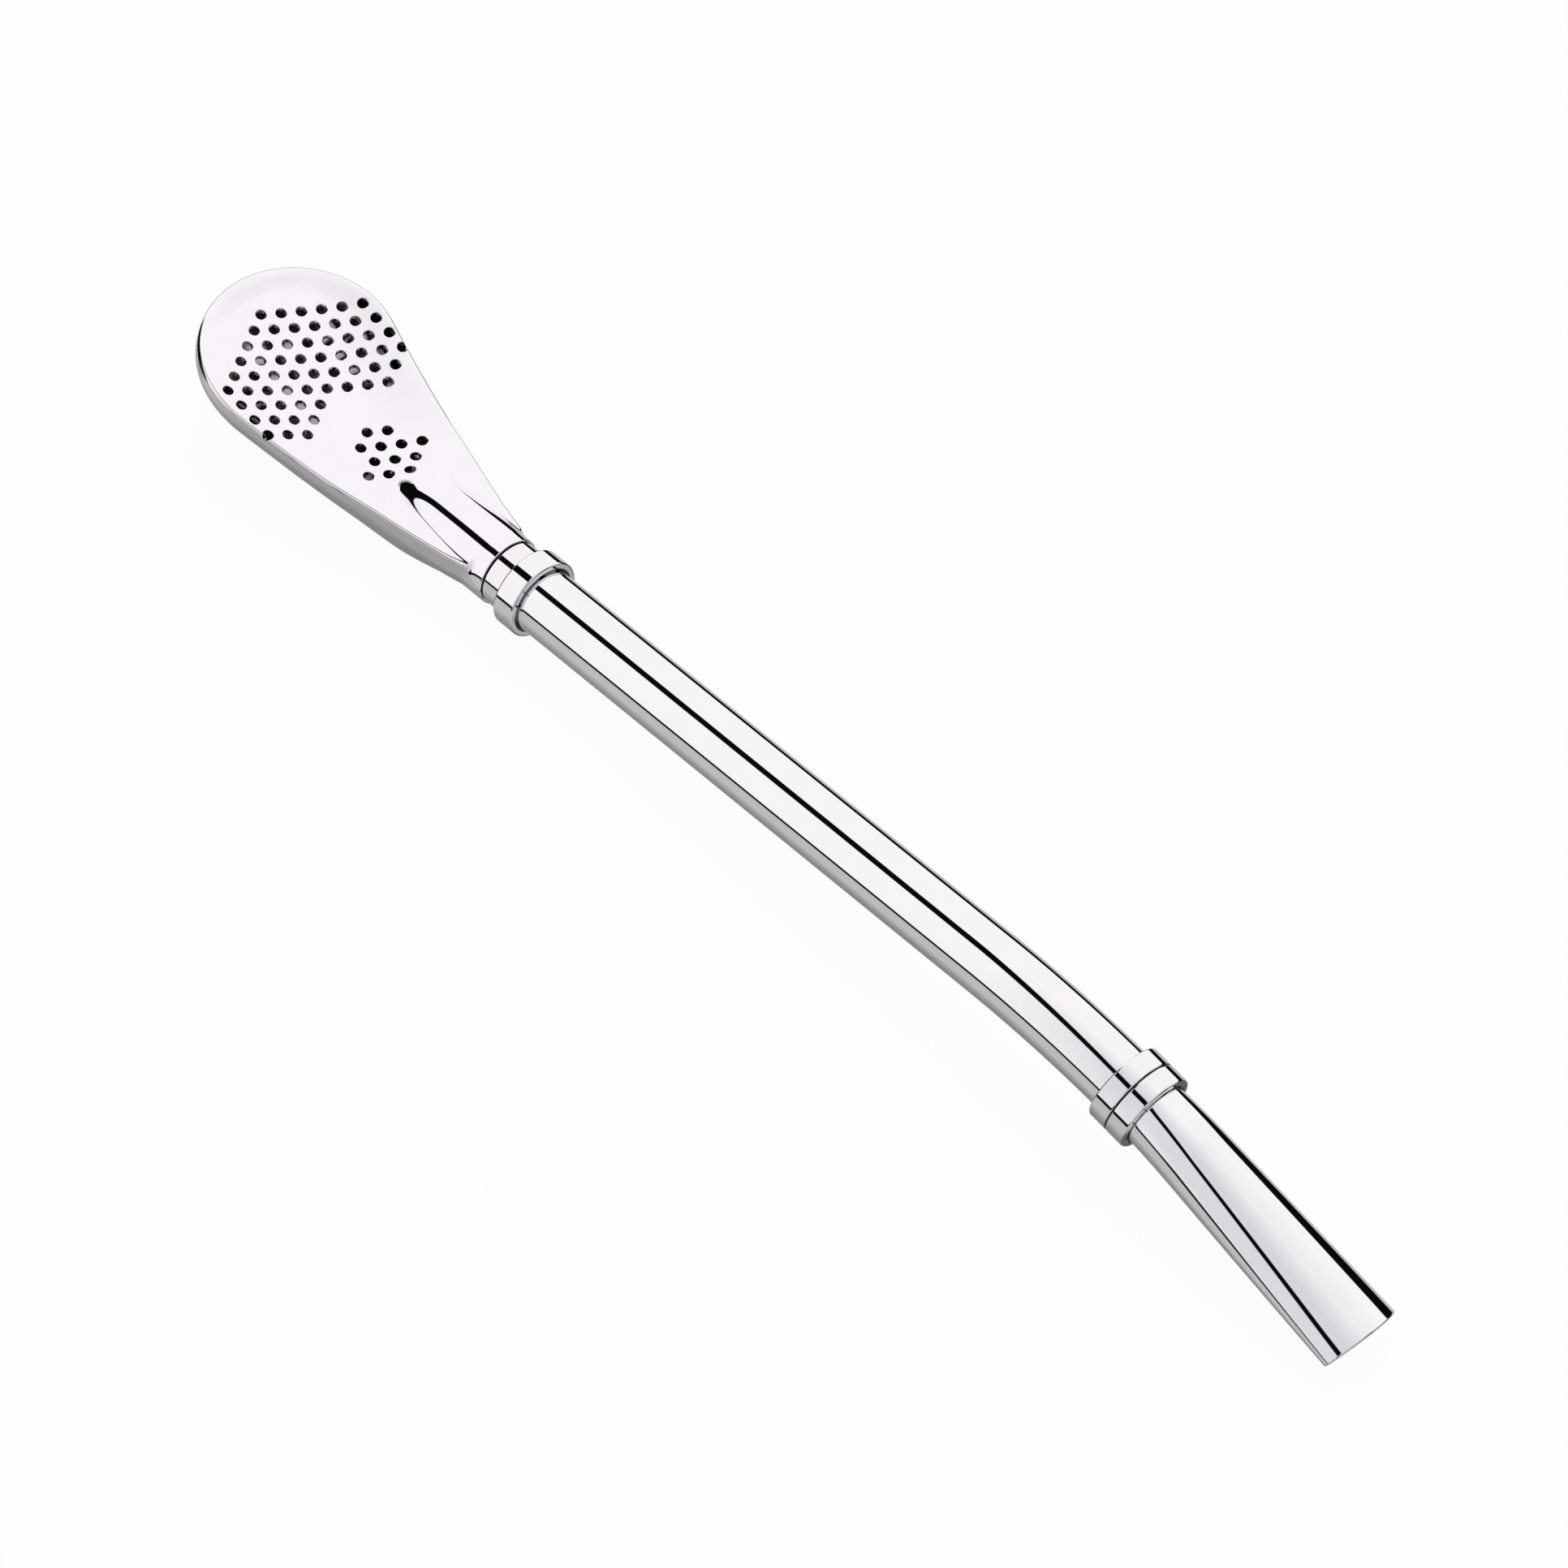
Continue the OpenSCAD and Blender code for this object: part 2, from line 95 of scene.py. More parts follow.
# The camera stands where the photographer stood, 0.77 m off with a long lens, and looks
# down on the plate from the side.
LENS = 186.34
SENSOR = 36.0
CAMERA_AT = (239.97, -352.09, 665.25)
CAMERA_RIGHT = (0.652835, 0.722624, 0.227201)
CAMERA_UP = (-0.726055, 0.511406, 0.459683)
camera = bpy.data.objects.new("camera", bpy.data.cameras.new("camera"))
camera.data.sensor_width = SENSOR
camera.data.lens = LENS
camera.data.clip_start = 0.05
right = Vector(CAMERA_RIGHT).normalized()
back = right.cross(Vector(CAMERA_UP)).normalized()
turned = Matrix((right, back.cross(right), back)).transposed().to_4x4()
camera.matrix_world = plate_frame @ Matrix.Translation(Vector(CAMERA_AT) * MM) @ turned
bpy.context.scene.collection.objects.link(camera)
bpy.context.scene.camera = camera


# The studio: a white tent over a grey table, with one long black flag overhead, which
# draws the dark stripe down the tube, and a narrow dark gap between tent and table, which
# draws the thin dark lines along its sides. The camera itself sees plain white.
def add(tree, kind, **settings):
    """Node of a kind, with its settings and the values of its named sockets."""
    node = tree.nodes.new(kind)
    for key, value in settings.items():
        if key in node.bl_rna.properties:
            setattr(node, key, value)
        else:
            node.inputs[key].default_value = value
    return node


def feed(tree, socket, value):
    if isinstance(value, bpy.types.NodeSocket):
        tree.links.new(value, socket)
    else:
        socket.default_value = value


def calc(tree, operation, *values, clamp=False):
    """Output of a maths node whose inputs are sockets or numbers."""
    node = add(tree, "ShaderNodeMath", operation=operation, use_clamp=clamp)
    for socket, value in zip(node.inputs, values):
        feed(tree, socket, value)
    return node.outputs[0]


def above(tree, value, edge, softness):
    """0 below edge and 1 above it, with a soft crossing."""
    offset = calc(tree, "SUBTRACT", value, edge)
    return calc(tree, "MULTIPLY_ADD", offset, 0.5 / softness, 0.5, clamp=True)


def below(tree, value, edge, softness):
    return calc(tree, "SUBTRACT", 1.0, above(tree, value, edge, softness))


def all_of(tree, *shares):
    """Product of several shares between 0 and 1."""
    product = shares[0]
    for share in shares[1:]:
        product = calc(tree, "MULTIPLY", product, share)
    return product


def mix_colour(tree, factor, a, b):
    node = add(tree, "ShaderNodeMix", data_type="RGBA")
    feed(tree, node.inputs[0], factor)
    feed(tree, node.inputs[6], a)
    feed(tree, node.inputs[7], b)
    return node.outputs[2]


# Where each part of the studio begins is an edge and its softness, in directions from the
# straw: x towards the mouth, y towards the far side and z up.
TENT = (0.985, 0.965, 0.99, 1)
NEAR_TENT = (0.75, 0.735, 0.765, 1)
TENT_END = (0.42, 0.41, 0.43, 1)
TABLE = (0.53, 0.53, 0.525, 1)
DARK_TABLE = (0.12, 0.12, 0.12, 1)
BLACK = (0.003, 0.003, 0.004, 1)
STEM_WAY = -0.53
FLAG_AT = -0.2
FLAG_HALF = 0.16
FLAG_SKEW = -0.65
FLAG_NARROWS = -0.13
FLAG_TURNS_FROM = -0.1
FLAG_HANGS = (0.2, 0.05)
NEAR_TENT_FROM = (-0.3, 0.15)
NEAR_TENT_UP_TO = (0.0, 0.3)
TENT_END_FROM = (0.42, 0.38)
STRIP = (0.68, 0.86)
STRIP_SIDE = (0.3, 0.6)
DARK_TABLE_FROM = (0.03, 0.08)
DARK_TABLE_UP_TO = (0.53, 0.03)
DARK_TABLE_SIDE = (-0.3, 0.2)
FOOT = (-0.8, 0.15)
FOOT_SHADE = 0.75
FAR_SIDE = (0.25, 0.25)
GAP = (-0.27, -0.155)
FAR_GAP = (-0.34, -0.055)
MOUTH_WAY = 0.25
MOUTH_OVER = 0.2
MOUTH_UP_TO = (0.1, 0.1)
GAP_WIDENS = 1.1
OPEN_END = (-0.72, 0.03)
OPEN_SIDE = (0.08, 0.05)
SHARP = 0.012
world = bpy.data.worlds.new("tent")
bpy.context.scene.world = world
world.use_nodes = True
tree = world.node_tree
tree.nodes.clear()
axes = add(tree, "ShaderNodeSeparateXYZ")
tree.links.new(add(tree, "ShaderNodeTexCoord").outputs["Generated"], axes.inputs[0])
to_end, to_side, to_top = axes.outputs

# The flag hangs askew: it leans over and looks narrower towards the mouthpiece.
past = calc(tree, "SUBTRACT", to_end, STEM_WAY)
past = calc(tree, "MAXIMUM", past, FLAG_TURNS_FROM)
lean = calc(tree, "ARCTAN2", to_side, to_top)
flag_at = calc(tree, "MULTIPLY_ADD", past, FLAG_SKEW, FLAG_AT)
off_flag = calc(tree, "ABSOLUTE", calc(tree, "SUBTRACT", lean, flag_at))
flag_half = calc(tree, "MULTIPLY_ADD", past, FLAG_NARROWS, FLAG_HALF)
flag = all_of(
    tree, below(tree, off_flag, flag_half, SHARP), above(tree, to_top, *FLAG_HANGS)
)

# The tent is dimmer on the near side and towards its far end, where a dark pole stands.
dim = all_of(
    tree, above(tree, to_end, *NEAR_TENT_FROM), below(tree, lean, *NEAR_TENT_UP_TO)
)
pole = all_of(
    tree,
    above(tree, to_end, STRIP[0], 0.03),
    below(tree, to_end, STRIP[1], 0.03),
    above(tree, to_side, STRIP_SIDE[0], 0.05),
    below(tree, to_side, STRIP_SIDE[1], 0.05),
)
over = mix_colour(tree, dim, TENT, NEAR_TENT)
over = mix_colour(tree, above(tree, to_end, *TENT_END_FROM), over, TENT_END)
over = mix_colour(tree, pole, over, BLACK)
over = mix_colour(tree, flag, over, BLACK)

# The table lies in shade at its far end and right under the straw.
shade = all_of(
    tree,
    above(tree, to_end, *DARK_TABLE_FROM),
    above(tree, to_side, *DARK_TABLE_SIDE),
    below(tree, to_end, *DARK_TABLE_UP_TO),
)
foot = calc(tree, "MULTIPLY", below(tree, to_top, *FOOT), FOOT_SHADE)
under = mix_colour(tree, calc(tree, "MAXIMUM", shade, foot), TABLE, DARK_TABLE)

# The gap is wider on the far side and beside the mouthpiece, and the tent's end behind
# the strainer's tip stands open.
far = above(tree, to_side, *FAR_SIDE)
gap_low = calc(tree, "MULTIPLY_ADD", far, FAR_GAP[0] - GAP[0], GAP[0])
gap_high = calc(tree, "MULTIPLY_ADD", far, FAR_GAP[1] - GAP[1], GAP[1])
more = calc(tree, "MAXIMUM", calc(tree, "SUBTRACT", past, MOUTH_WAY), 0.0)
more = calc(tree, "MINIMUM", more, MOUTH_OVER)
more = all_of(tree, more, below(tree, to_end, *MOUTH_UP_TO))
gap_high = calc(tree, "MULTIPLY_ADD", more, GAP_WIDENS, gap_high)
studio = mix_colour(tree, above(tree, to_top, gap_high, SHARP), BLACK, over)
studio = mix_colour(tree, above(tree, to_top, gap_low, SHARP), under, studio)
open_end = all_of(tree, below(tree, to_end, *OPEN_END), below(tree, to_side, *OPEN_SIDE))
studio = mix_colour(tree, open_end, studio, BLACK)
rays = add(tree, "ShaderNodeLightPath").outputs
seen = mix_colour(tree, rays["Is Camera Ray"], studio, (1, 1, 1, 1))
ground = add(tree, "ShaderNodeBackground", Strength=1.0)
tree.links.new(seen, ground.inputs["Color"])
world_out = add(tree, "ShaderNodeOutputWorld")
tree.links.new(ground.outputs[0], world_out.inputs["Surface"])

# The floor is plain white paper, which still takes the straw's shadow.
FLOOR_HALF = 1.5
FLOOR_WHITE = 0.95
FLOOR_BELOW = 0.00005
floor_mesh = bpy.data.meshes.new("floor")
corners = [(-1, -1), (1, -1), (1, 1), (-1, 1)]
corners = [(x * FLOOR_HALF, y * FLOOR_HALF, 0) for x, y in corners]
floor_mesh.from_pydata(corners, [], [range(4)])
floor = bpy.data.objects.new("floor", floor_mesh)
floor.location.z = -FLOOR_BELOW
floor.visible_glossy = False
bpy.context.scene.collection.objects.link(floor)
paper = bpy.data.materials.new("paper")
paper.use_nodes = True
tree = paper.node_tree
tree.nodes.clear()
matt = add(tree, "ShaderNodeBsdfDiffuse", Color=(0.9, 0.9, 0.9, 1))
white = add(tree, "ShaderNodeEmission", Color=(1, 1, 1, 1), Strength=1.0)
rays = add(tree, "ShaderNodeLightPath").outputs
blend = add(tree, "ShaderNodeMixShader")
feed(tree, blend.inputs[0], calc(tree, "MULTIPLY", rays["Is Camera Ray"], FLOOR_WHITE))
tree.links.new(matt.outputs[0], blend.inputs[1])
tree.links.new(white.outputs[0], blend.inputs[2])
paper_out = add(tree, "ShaderNodeOutputMaterial")
tree.links.new(blend.outputs[0], paper_out.inputs["Surface"])
floor_mesh.materials.append(paper)

LAMP_AT = Vector((-0.25, 0.3, 0.9))
lamp = bpy.data.objects.new("lamp", bpy.data.lights.new("lamp", "AREA"))
lamp.data.size = 0.8
lamp.data.energy = 3.0
lamp.location = LAMP_AT
lamp.rotation_euler = (-LAMP_AT).to_track_quat("-Z", "Y").to_euler()
lamp.visible_glossy = False
bpy.context.scene.collection.objects.link(lamp)


# Strainer plate: thin stainless sheet, pierced, dished and turned down around its rim,
# with the upper half of the neck raised on it as a ridge. Mirror polished after brazing.
HEAD_R = 10.1
SHEET = 0.5
RIM_DROP = 1.0
RIM_ROUND = 0.42
LIP_LIFT = 0.3
LIP_FROM = 0.7
LIP_FADES = (8, 8)
DISH_R_TIP = 110.0
DISH_R_NECK = 26.0
DISH_FULL = FLAT_L + 8.5
NECK_R = 3.65
NECK_ROUND = 2.4
RIDGE_L = 14.2
NOSE_STRETCH = 1.28
FOLD_L = 1.6
FOLD_END = HEAD_L - 1.2
FOLD_BELOW = 0.3
FILLET = 0.2
NOSE_FILLET = 0.72
NOSE_FILLET_TO = (27.3, 4)
END_FILLET = 0.3
END_FILLET_FROM = (33, 4)
FOLD_FILLET_TO = (FOLD_END - 0.4, 1.2)
HOLLOW_FROM = (2, 6)
DRAWN_EDGE = 0.92
DRAWN_FROM = (24, 6)
NECK_RUN = 8
SEAM_GAP = 0.1
END_ROUND = 0.12
SEAM_BEVEL = 0.02
JOINS = (26.0, HEAD_L - 29.2)
PITCH = 2.0
HOLE_R = 0.525
FIRST_HOLE = 4.2
HOLE_STEPS = 28
PUNCH_ROUND = 0.1
HIGH = 15.0
HALVINGS = 44
tan_rise, cos_rise, sin_rise = math.tan(NECK_RISE), math.cos(NECK_RISE), math.sin(NECK_RISE)
round_x = HEAD_L - NECK_ROUND
leave = math.atan2(NECK_R, round_x - HEAD_R)
leave += math.acos(HEAD_R / math.hypot(NECK_R, round_x - HEAD_R))
leave_x = HEAD_R + HEAD_R * math.cos(leave)
leave_y = HEAD_R * math.sin(leave)


def ease(t):
    t = np.clip(t, 0, 1)
    return t * t * (3 - 2 * t)


def eased(x, start_and_length):
    start, length = start_and_length
    return ease((x - start) / length)


def soft_max(a, b, width):
    return (a + b + np.sqrt((a - b) ** 2 + width**2)) / 2


def half_w(x):
    """Half the outline's width: a round end, straight flanks and the round neck."""
    end = np.sqrt(np.maximum(HEAD_R**2 - (x - HEAD_R) ** 2, 1e-12))
    slope = (NECK_R - leave_y) / (round_x - leave_x)
    return np.where(x < leave_x, end, np.maximum(leave_y + (x - leave_x) * slope, NECK_R))


def reach(x, y):
    """Share of the way from the middle of the outline to its edge."""
    return np.where(x < HEAD_R, np.hypot(x - HEAD_R, y) / HEAD_R, np.abs(y) / half_w(x))


def span(x):
    """Distance from the outline's middle to its edge."""
    return np.where(x < HEAD_R, HEAD_R, half_w(x))


def dish(x):
    share = np.clip(x / DISH_FULL, 0, 1)
    return (1 - share) / DISH_R_TIP + share / DISH_R_NECK


def neck_level(x):
    return seam_z + (x - HEAD_L) * tan_rise


def sink(x):
    return PLATE_SINK * ease((x - HEAD_L + RIDGE_L) / (RIDGE_L - NECK_ROUND - 1))


def lip(x):
    return LIP_LIFT * (1 - eased(x, LIP_FADES))


def plate_level(x, y, drawn_in):
    """Top of the plate, or its under side when drawn in by the sheet."""
    t = reach(x, y)
    u = np.clip(np.abs(y) / half_w(x), 0, 1)
    hollow = u**2 + (u**2 - u**4) / 2 * eased(x, HOLLOW_FROM)
    level = rise(x) - sink(x) + dish(x) * half_w(x) ** 2 / 2 * hollow
    level = level + lip(x) * ease((t - LIP_FROM) / (1 - LIP_FROM))
    near_edge = np.clip(1 - (1 - t) * span(x) / RIM_ROUND, 0, 1)
    if drawn_in == 0:
        level = level - RIM_ROUND * (1 - np.sqrt(1 - near_edge**2))
    fold = ease((x - FOLD_END + FOLD_L) / FOLD_L)
    return level - drawn_in + (neck_level(x) - FOLD_BELOW - level) * fold


def join_level(x):
    """Height at which plate and bowl are joined, down to the middle of the neck."""
    edge = rise(x) + dish(x) * half_w(x) ** 2 / 2 + lip(x) - RIM_DROP
    share = eased(x, JOINS)
    return edge + (neck_level(x) - edge) * share


def off_neck(x, y, z, start):
    """Distance from the neck's middle line, which begins at start from the seam."""
    along = (x - HEAD_L) * cos_rise + (z - seam_z) * sin_rise
    up = (z - seam_z) * cos_rise - (x - HEAD_L) * sin_rise
    before = np.minimum(along - start, 0) / NOSE_STRETCH
    return np.sqrt(before**2 + y * y + up * up)


def height_of(field, x, y, outside, inside):
    """Height at which a field that is positive outside changes its sign."""
    outside, inside = np.full(np.shape(x), outside), np.full(np.shape(x), inside)
    for _ in range(HALVINGS):
        middle = (outside + inside) / 2
        out = field(x, y, middle) > 0
        outside, inside = np.where(out, middle, outside), np.where(out, inside, middle)
    return (outside + inside) / 2


def lattice(u, v):
    return FIRST_HOLE + (u + v) * PITCH / 2, (u - v) * PITCH * math.sqrt(3) / 2


field_holes = [
    lattice(u, v) for u in range(9) for v in range(9) if abs(u - v) <= 5 and min(u, v) <= 5
]
group_holes = [
    lattice(u, v)
    for u in range(8, 12)
    for v in range(8, 12)
    if min(u, v) >= 9 or u + v <= 17
]


def punched(x, y, holes):
    """How far the punch has drawn the sheet down beside a hole."""
    away = np.min([np.hypot(x - hx, y - hy) for hx, hy in holes], axis=0) - HOLE_R
    down = np.clip(1 - away / PUNCH_ROUND, 0, 1)
    return PUNCH_ROUND * (1 - np.sqrt(1 - down**2))


def spread(q):
    """Plan points of points drawn with even spacing on the curved sheet."""
    x, y = q[..., 0], q[..., 1]
    s = np.maximum(reach(x, y), 1e-9)
    share = np.sin(np.clip(s, 0, 1) * math.pi / 2) / s
    middle = np.maximum(x, HEAD_R)
    return np.stack([middle + (x - middle) * share, y * share], axis=-1)


def unspread(p):
    x, y = p[..., 0], p[..., 1]
    t = np.clip(reach(x, y), 1e-9, 1)
    share = np.arcsin(t) * 2 / math.pi / t
    middle = np.maximum(x, HEAD_R)
    return np.stack([middle + (x - middle) * share, y * share], axis=-1)


def drawn_in_plan(p, neck_side):
    """Plan points of the sheet's inner side for plan points of its outer side."""
    x, y = p[..., 0], p[..., 1]
    t = reach(x, y)
    start = DRAWN_EDGE * (1 - eased(x, DRAWN_FROM))
    drawn = np.clip((t - start) / (1 - start), 0, 1)
    share = 1 - SHEET / span(x) * drawn / np.maximum(t, 1e-9)
    middle = np.maximum(x, HEAD_R)
    inner_y = y * share
    outer_end = neck_end(y, NECK_R, neck_side)
    inner_end = neck_end(inner_y, NECK_R - SHEET, neck_side)
    ramp = np.clip((x - HEAD_L + NECK_RUN) / (outer_end - HEAD_L + NECK_RUN), 0, 1)
    inner_x = middle + (x - middle) * share + (inner_end - outer_end) * ramp
    return np.stack([inner_x, inner_y], -1)


def neck_end(y, r, neck_side):
    """Plan distance at which the neck's upper or under side ends before the seam."""
    up = np.sqrt(np.maximum(r * r - y * y, 0)) * neck_side
    return HEAD_L - (SEAM_GAP + END_ROUND) * cos_rise - up * sin_rise


def sheet_points(q, level, neck_side, inner):
    p = spread(q)
    if inner:
        p = drawn_in_plan(p, neck_side)
    return np.concatenate([p, level(p[..., 0], p[..., 1])[..., None]], axis=-1)


def sheet_normals(q, level, neck_side, inner, up):
    h = 0.002
    middle = np.maximum(q[:, :1], HEAD_R) * [1, 0]
    share = np.minimum(1, 0.998 / np.maximum(reach(q[:, 0], q[:, 1]), 1e-9))[:, None]
    q = middle + (q - middle) * share

    def change(step):
        ahead = sheet_points(q + step, level, neck_side, inner)
        return ahead - sheet_points(q - step, level, neck_side, inner)

    a, b = change(np.array([h, 0])), change(np.array([0, h]))
    n = np.cross(a, b)
    n /= np.linalg.norm(n, axis=1, keepdims=True)
    return n * np.sign(n[:, 2:]) * up


def outline(flank_steps=70, round_steps=90):
    """Plan outline from one corner of the neck round the tip to the other corner."""
    end = float(neck_end(NECK_R, NECK_R, 1))
    xs = [end + (round_x - end) * i / 6 for i in range(6)]
    xs += [round_x + (leave_x - round_x) * i / flank_steps for i in range(flank_steps)]
    side = [(x, float(half_w(np.array(x)))) for x in xs]
    angles = [leave + (math.pi - leave) * i / round_steps for i in range(round_steps + 1)]
    side += [(HEAD_R + HEAD_R * math.cos(a), HEAD_R * math.sin(a)) for a in angles]
    return np.array(side + [(x, -y) for x, y in side[-2::-1]])


HOLE_RINGS = (0.008, 0.03, 0.06, 0.1, 0.2)
HOLE_CLEAR = 0.3
GRIDS = ((0, 24, 0.42), (24, HEAD_L, 0.13))
GRID_REACH = 0.63
EDGE_ROWS = np.arange(0.65, 0.995, 0.025)


def shell(level_out, level_in, holes, neck_side):
    """Points, normals and faces of a closed piece of pierced sheet.

    neck_side is 1 for a sheet whose outer side looks up and -1 for one that looks down."""
    rim = outline()
    across = np.linspace(-1, 1, 33)[1:-1]
    end_y = np.sin(across * math.pi / 2) * NECK_R
    end = np.stack([neck_end(end_y, NECK_R, neck_side), end_y], 1)
    loop = np.concatenate([unspread(rim), unspread(end)])
    plan = [loop]
    links = [(i, (i + 1) % len(loop)) for i in range(len(loop))]
    first_hole = len(loop)
    circle = np.linspace(0, 2 * math.pi, HOLE_STEPS, endpoint=False)
    ring = np.stack([np.cos(circle), np.sin(circle)], 1)
    for k, hole in enumerate(holes):
        at = first_hole + k * HOLE_STEPS
        plan.append(unspread(np.array(hole) + ring * HOLE_R))
        links += [(at + i, at + (i + 1) % HOLE_STEPS) for i in range(HOLE_STEPS)]
    for hole in holes:
        for out in HOLE_RINGS:
            plan.append(unspread(np.array(hole) + ring * (HOLE_R + out)))
    grids = []
    for x0, x1, gap in GRIDS:
        xs = np.arange(x0, x1, gap)
        for i, x in enumerate(xs):
            ys = np.arange(-HEAD_R, HEAD_R, gap) + (i % 2) * gap / 2 + 1e-4
            grids.append(np.stack([np.full(len(ys), x), ys], 1))
    grid = np.concatenate(grids)
    grid = grid[reach(grid[:, 0], grid[:, 1]) < GRID_REACH]
    rows = []
    middle = np.maximum(rim[:, :1], HEAD_R)
    for s in EDGE_ROWS:
        rows.append(np.concatenate([middle + (rim[:, :1] - middle) * s, rim[:, 1:] * s], 1))
    loose = np.concatenate([grid] + rows)
    placed = spread(loose)
    clear = np.full(len(loose), True)
    for hole in holes:
        clear &= np.hypot(*(placed - hole).T) > HOLE_R + HOLE_CLEAR
    clear &= loose[:, 0] < neck_end(placed[:, 1], NECK_R, neck_side) - 0.06
    plan.append(loose[clear])
    plan = np.concatenate(plan)
    out, _, faces, origin, _, _ = delaunay_2d_cdt(
        [Vector(p) for p in plan], links, [], 1, 1e-6, True
    )
    q = np.array([v[:] for v in out])
    place = np.zeros(len(plan), int)
    for i, sources in enumerate(origin):
        for j in sources:
            place[j] = i
    faces = np.array([f[:] for f in faces])
    centre = spread(q)[faces].mean(axis=1)
    solid = reach(*centre.T) < 1
    for hole in holes:
        solid &= np.hypot(*(centre - hole).T) > HOLE_R * 0.9
    faces = faces[solid]

    outer = sheet_points(q, level_out, neck_side, False)
    inner = sheet_points(q, level_in, neck_side, True)
    outer_n = sheet_normals(q, level_out, neck_side, False, neck_side)
    inner_n = sheet_normals(q, level_in, neck_side, True, -neck_side)
    count = len(q)
    points, normals = [outer, inner], [outer_n, inner_n]
    all_faces = faces.tolist() + (faces + count).tolist()
    total = 2 * count

    def strip(rows_of_points, rows_of_normals, closed):
        nonlocal total
        size = len(rows_of_points[0])
        for k, (p, n) in enumerate(zip(rows_of_points, rows_of_normals)):
            points.append(p)
            normals.append(n)
            if k:
                for i in range(size if closed else size - 1):
                    j = (i + 1) % size
                    a, b = total + (k - 1) * size, total + k * size
                    all_faces.append((a + i, a + j, b + j, b + i))
        total += len(rows_of_points) * size

    # The turned-down wall, or the bowl's upper edge, down to the seam and back inside.
    n_rim = len(rim)
    edge, edge_in = outer[place[:n_rim]], inner[place[:n_rim]]
    along = np.gradient(rim, axis=0)
    side = np.stack([-along[:, 1], along[:, 0], 0 * along[:, 0]], 1)
    side /= np.linalg.norm(side, axis=1, keepdims=True)
    facing = np.sign(side[:, 0] * (rim[:, 0] - HEAD_R) + side[:, 1] * rim[:, 1])
    side *= facing[:, None]
    outer_n[place[:n_rim]] = side
    down = np.array([0, 0, -neck_side])
    foot = np.array([*edge.T[:2], join_level(edge[:, 0]) - down[2] * SEAM_BEVEL]).T
    foot[:, 2] = np.where((edge[:, 2] - foot[:, 2]) * neck_side < 0, edge[:, 2], foot[:, 2])
    rows_p, rows_n = [edge], [side]
    for k in range(5):
        a = math.pi / 2 * k / 4
        n = side * math.cos(a) + down * math.sin(a)
        rows_p.append(foot - side * SEAM_BEVEL + n * SEAM_BEVEL)
        rows_n.append(n)
    inside = foot - side * SHEET + down * SEAM_BEVEL
    rows_p += [inside, inside, edge_in]
    rows_n += [np.broadcast_to(down, side.shape), -side, -side]
    strip(rows_p, rows_n, False)

    # The neck's end, a rounded edge and a narrow ring beside the seam.
    end_ids = place[[n_rim - 1, *range(n_rim, n_rim + len(end)), 0]]
    end_p, end_in = outer[end_ids], inner[end_ids]
    axis = np.array([cos_rise, 0, sin_rise])
    seam_point = np.array([HEAD_L, 0, seam_z])
    radial = end_p - seam_point
    radial -= (radial @ axis)[:, None] * axis
    radial /= np.linalg.norm(radial, axis=1, keepdims=True)
    outer_n[end_ids] = radial
    rows_p, rows_n = [], []
    for k in range(6):
        a = math.pi / 2 * k / 5
        n = radial * math.cos(a) + axis * math.sin(a)
        rows_p.append(end_p - radial * END_ROUND + n * END_ROUND)
        rows_n.append(n)
    flat = end_in + axis * END_ROUND
    rows_p += [flat, flat, end_in]
    rows_n += [np.broadcast_to(axis, radial.shape), -radial, -radial]
    strip(rows_p, rows_n, False)

    # The walls of the holes.
    for k, hole in enumerate(holes):
        ids = place[first_hole + k * HOLE_STEPS : first_hole + (k + 1) * HOLE_STEPS]
        towards = np.concatenate([-ring, np.zeros((HOLE_STEPS, 1))], 1)
        outer_n[ids] = towards
        inner_n[ids] = towards
        strip([outer[ids], inner[ids]], [towards, towards], True)
    points = np.concatenate(points)
    return points, np.concatenate(normals), all_faces, points


DRAW_MARKS, SMUDGES, SLOW_WAVES = 1000.0, 260.0, 110.0
MARK_DEPTH = 0.0000015
# Painted shade: near-black colour mixed into the steel in the crevices between pieces.
PAINTED_SHADE = (0.02, 0.02, 0.022, 1)


